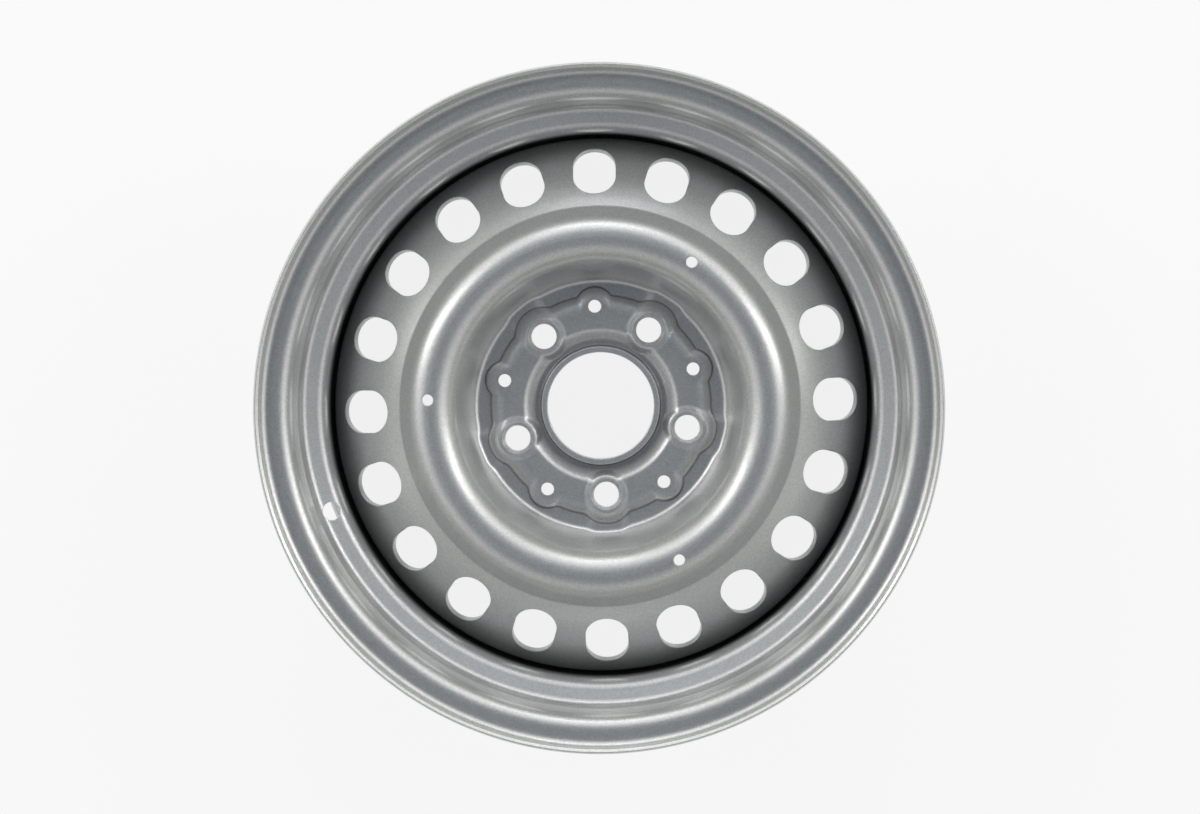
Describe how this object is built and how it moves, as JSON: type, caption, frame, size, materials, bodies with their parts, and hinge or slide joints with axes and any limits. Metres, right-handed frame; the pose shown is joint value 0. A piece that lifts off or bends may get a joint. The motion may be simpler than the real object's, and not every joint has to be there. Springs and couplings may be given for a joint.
{
  "type": "steel wheel rim",
  "caption": "Pressed steel car wheel: rolled drop-centre rim, vented disc with hat ring, bolt bosses and centre bore, painted silver.",
  "frame": {"origin": "on the axle line, on the floor that the inboard lip rests on", "axes": "+Z along the axle line towards the wheel's outer face, +Y towards the picture's top"},
  "size_m": [0.4152, 0.4152, 0.1914],
  "materials": {
    "silver_paint": "silver metallic wheel paint, satin"
  },
  "bodies": {
    "root": {"rim": "silver_paint", "wheel_disc": "silver_paint", "weld_bead_01": "silver_paint", "weld_bead_02": "silver_paint", "weld_bead_03": "silver_paint", "weld_bead_04": "silver_paint", "weld_bead_05": "silver_paint", "weld_bead_06": "silver_paint", "weld_bead_07": "silver_paint", "weld_bead_08": "silver_paint", "weld_bead_09": "silver_paint", "weld_bead_10": "silver_paint"}
  },
  "joints": []
}
